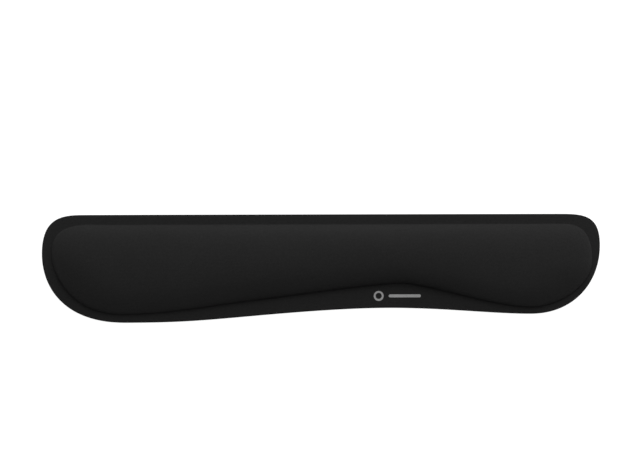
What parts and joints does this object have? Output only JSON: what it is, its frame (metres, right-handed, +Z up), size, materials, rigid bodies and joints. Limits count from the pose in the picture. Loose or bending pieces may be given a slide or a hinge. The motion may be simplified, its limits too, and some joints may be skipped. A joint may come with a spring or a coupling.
{
  "type": "wrist rest",
  "caption": "Keyboard wrist rest: a long, low, domed memory-foam pillow under black stretch knit, with a flat flange all round, straight back edge, wavy front and an anti-slip base.",
  "frame": {"origin": "on the desk, at the middle of the outline's box", "axes": "+X along the keyboard towards the right hand, +Y towards the keyboard, out of the straight back edge, +Z up from the desk"},
  "size_m": [0.45, 0.087, 0.021],
  "materials": {
    "base_rubber": "matt black rubber with a fine moulded tread underneath",
    "adhesive": "dark hot-melt film, satin",
    "foam": "open-cell memory foam, matt",
    "knit": "black stretch knit, fine and matt, with a slight sheen at grazing angles",
    "print": "light grey heat-transfer print, matt"
  },
  "bodies": {
    "root": {"base_sheet": "base_rubber", "adhesive_film": "adhesive", "foam_core": "foam", "cover_fabric": "knit", "mark_ring": "print", "mark_bar": "print"}
  },
  "joints": []
}
